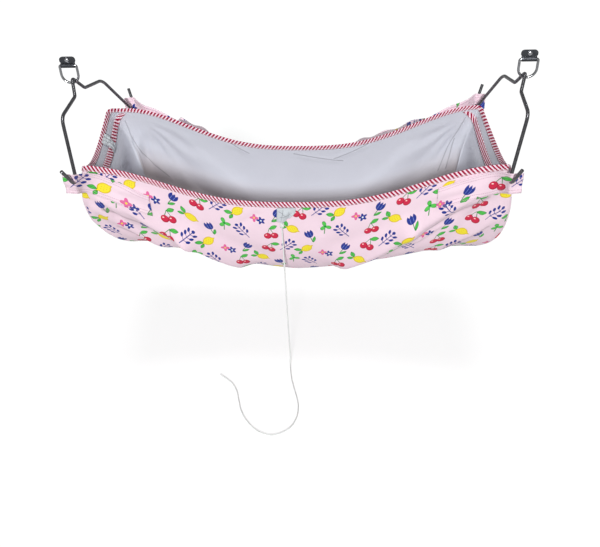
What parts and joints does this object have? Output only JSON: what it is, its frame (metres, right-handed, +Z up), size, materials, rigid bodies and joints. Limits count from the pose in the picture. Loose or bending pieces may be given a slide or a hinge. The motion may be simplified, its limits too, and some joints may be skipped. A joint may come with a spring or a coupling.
{
  "type": "hanging baby cradle",
  "caption": "Printed cloth tub slung at its corners from two bent wire yokes, each in a D ring on a riveted hanger plate, with a pull cord for rocking.",
  "frame": {"origin": "midway between the two hanger plates, level with their middles", "axes": "+X along the cradle, from its labelled left end to its right end; +Y away from the side that the pull cord hangs on; +Z up"},
  "size_m": [1.111, 0.7003, 0.7797],
  "materials": {
    "printed_cotton": "pale pink woven cotton with a small fruit and flower print",
    "lining_cloth": "pale grey-blue plain woven lining",
    "striped_tape": "red and pale pink diagonal stripe bias tape",
    "white_tape": "white woven tape",
    "white_cord": "white braided cord",
    "dark_wire": "dark grey satin coated steel wire",
    "ring_wire": "bright dark steel wire",
    "dark_plate": "black satin coated steel strip",
    "rivet_steel": "bright steel"
  },
  "bodies": {
    "hangers": {"left_hanger_plate": "dark_plate", "left_plate_rivet": "rivet_steel", "right_hanger_plate": "dark_plate", "right_plate_rivet": "rivet_steel"},
    "left_ring": {"left_ring": "ring_wire"},
    "right_ring": {"right_ring": "ring_wire"},
    "cradle": {"left_yoke": "dark_wire", "right_yoke": "dark_wire", "outer_cloth": "printed_cotton", "lining": "lining_cloth", "front_rim_binding": "striped_tape", "rear_rim_binding": "striped_tape", "left_end_binding": "striped_tape", "right_end_binding": "striped_tape", "left_hem_tape": "striped_tape", "right_hem_tape": "striped_tape", "blank_label": "white_tape", "front_left_corner_strap": "printed_cotton", "rear_left_corner_strap": "printed_cotton", "front_right_corner_strap": "printed_cotton", "rear_right_corner_strap": "printed_cotton", "cord_tab": "white_tape", "cord_knot": "white_cord", "pull_cord": "white_cord"}
  },
  "joints": [
    {"name": "left_ring_swing", "type": "hinge", "parent": "hangers", "child": "left_ring", "pos_m": [-0.532, 0, -0.007], "axis": [1, 0, 0], "range_deg": [-20, 20]},
    {"name": "right_ring_swing", "type": "hinge", "parent": "hangers", "child": "right_ring", "pos_m": [0.532, 0, -0.007], "axis": [1, 0, 0], "range_deg": [-20, 20]},
    {"name": "cradle_rock", "type": "hinge", "parent": "left_ring", "child": "cradle", "pos_m": [0, 0, -0.04682], "axis": [1, 0, 0], "range_deg": [-25, 25]}
  ],
  "couplings": [
    {"joint": "right_ring_swing", "follows": "left_ring_swing", "ratio": 1}
  ]
}
